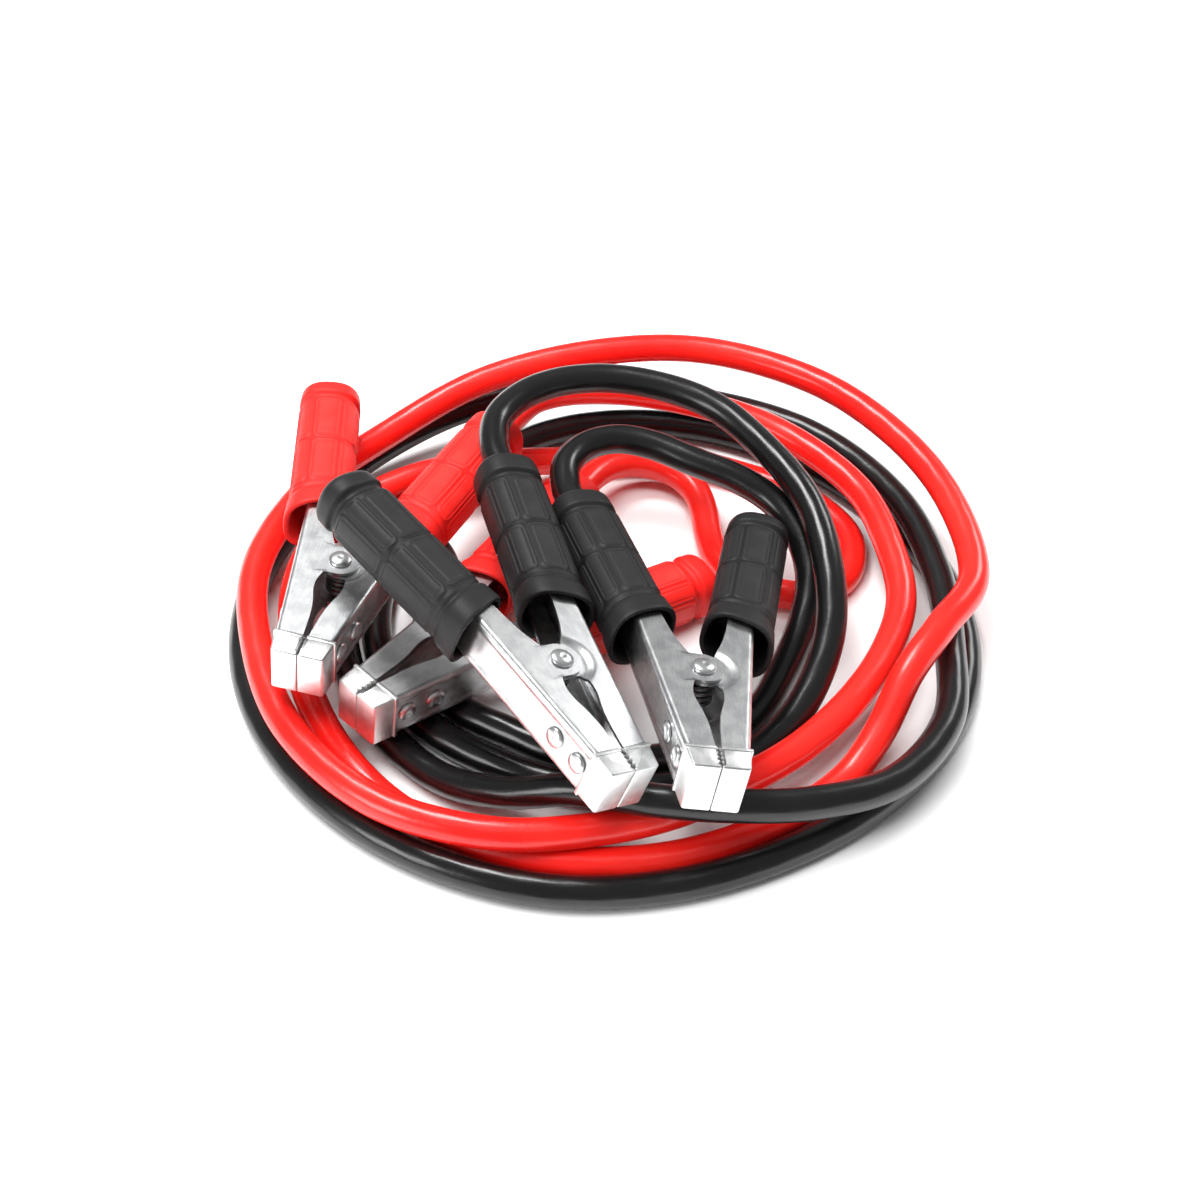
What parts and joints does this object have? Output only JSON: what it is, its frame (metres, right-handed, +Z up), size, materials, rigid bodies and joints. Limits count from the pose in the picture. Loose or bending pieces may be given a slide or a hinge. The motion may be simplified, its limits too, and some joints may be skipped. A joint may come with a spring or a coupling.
{
  "type": "jumper cable set",
  "caption": "Pair of coiled jumper cables, red and black, with a spring clamp at each end that grips a battery terminal",
  "frame": {"origin": "the centre of the bounding box's bottom face, on the floor that the coil lies on", "axes": "+Z is up from the floor; -Y is the side that the clamps' noses lie on; +X is to the right seen from that side"},
  "size_m": [0.3466, 0.3328, 0.1074],
  "materials": {
    "red_jacket": "glossy smooth red PVC jacket",
    "black_jacket": "glossy smooth black PVC jacket",
    "red_grip": "satin moulded red PVC",
    "black_grip": "satin moulded black PVC",
    "arm": "bright zinc-plated sheet steel",
    "nose_plate": "bright plated contact plate",
    "rivet": "bright plated rivet",
    "spring": "dark plated spring wire"
  },
  "bodies": {
    "cables_and_fixed_sides": {"black_cable": "black_jacket", "red_cable": "red_jacket", "black_clamp_1_cable_arm": "arm", "black_clamp_1_cable_nose_plate": "nose_plate", "black_clamp_1_cable_rivet_1": "rivet", "black_clamp_1_cable_rivet_2": "rivet", "black_clamp_1_cable_grip": "black_grip", "black_clamp_1_pivot_pin": "rivet", "black_clamp_1_spring": "spring", "black_clamp_2_cable_arm": "arm", "black_clamp_2_cable_nose_plate": "nose_plate", "black_clamp_2_cable_rivet_1": "rivet", "black_clamp_2_cable_rivet_2": "rivet", "black_clamp_2_cable_grip": "black_grip", "black_clamp_2_pivot_pin": "rivet", "black_clamp_2_spring": "spring", "red_clamp_1_cable_arm": "arm", "red_clamp_1_cable_nose_plate": "nose_plate", "red_clamp_1_cable_rivet_1": "rivet", "red_clamp_1_cable_rivet_2": "rivet", "red_clamp_1_cable_grip": "red_grip", "red_clamp_1_pivot_pin": "rivet", "red_clamp_1_spring": "spring", "red_clamp_2_cable_arm": "arm", "red_clamp_2_cable_nose_plate": "nose_plate", "red_clamp_2_cable_rivet_1": "rivet", "red_clamp_2_cable_rivet_2": "rivet", "red_clamp_2_cable_grip": "red_grip", "red_clamp_2_pivot_pin": "rivet", "red_clamp_2_spring": "spring"},
    "black_clamp_1_free_side": {"black_clamp_1_free_arm": "arm", "black_clamp_1_free_nose_plate": "nose_plate", "black_clamp_1_free_rivet_1": "rivet", "black_clamp_1_free_rivet_2": "rivet", "black_clamp_1_free_grip": "black_grip"},
    "black_clamp_2_free_side": {"black_clamp_2_free_arm": "arm", "black_clamp_2_free_nose_plate": "nose_plate", "black_clamp_2_free_rivet_1": "rivet", "black_clamp_2_free_rivet_2": "rivet", "black_clamp_2_free_grip": "black_grip"},
    "red_clamp_1_free_side": {"red_clamp_1_free_arm": "arm", "red_clamp_1_free_nose_plate": "nose_plate", "red_clamp_1_free_rivet_1": "rivet", "red_clamp_1_free_rivet_2": "rivet", "red_clamp_1_free_grip": "red_grip"},
    "red_clamp_2_free_side": {"red_clamp_2_free_arm": "arm", "red_clamp_2_free_nose_plate": "nose_plate", "red_clamp_2_free_rivet_1": "rivet", "red_clamp_2_free_rivet_2": "rivet", "red_clamp_2_free_grip": "red_grip"}
  },
  "joints": [
    {"name": "black_clamp_1_pivot", "type": "hinge", "parent": "cables_and_fixed_sides", "child": "black_clamp_1_free_side", "pos_m": [-0.0216, -0.097, 0.06505], "axis": [-0.3382, -0.0298, -0.9406], "range_deg": [0, 17], "stiffness_Nm_per_rad": 2.5, "springref_deg": -28.65},
    {"name": "black_clamp_2_pivot", "type": "hinge", "parent": "cables_and_fixed_sides", "child": "black_clamp_2_free_side", "pos_m": [0.0369, -0.1005, 0.06255], "axis": [0.1826, 0.1242, 0.9753], "range_deg": [0, 17], "stiffness_Nm_per_rad": 2.5, "springref_deg": -28.65},
    {"name": "red_clamp_1_pivot", "type": "hinge", "parent": "cables_and_fixed_sides", "child": "red_clamp_1_free_side", "pos_m": [-0.1166, -0.0215, 0.05055], "axis": [-0.1109, 0.0226, -0.9936], "range_deg": [0, 17], "stiffness_Nm_per_rad": 2.5, "springref_deg": -28.65},
    {"name": "red_clamp_2_pivot", "type": "hinge", "parent": "cables_and_fixed_sides", "child": "red_clamp_2_free_side", "pos_m": [-0.0646, -0.0415, 0.02705], "axis": [0.1103, 0.016, 0.9938], "range_deg": [0, 17], "stiffness_Nm_per_rad": 2.5, "springref_deg": -28.65}
  ]
}
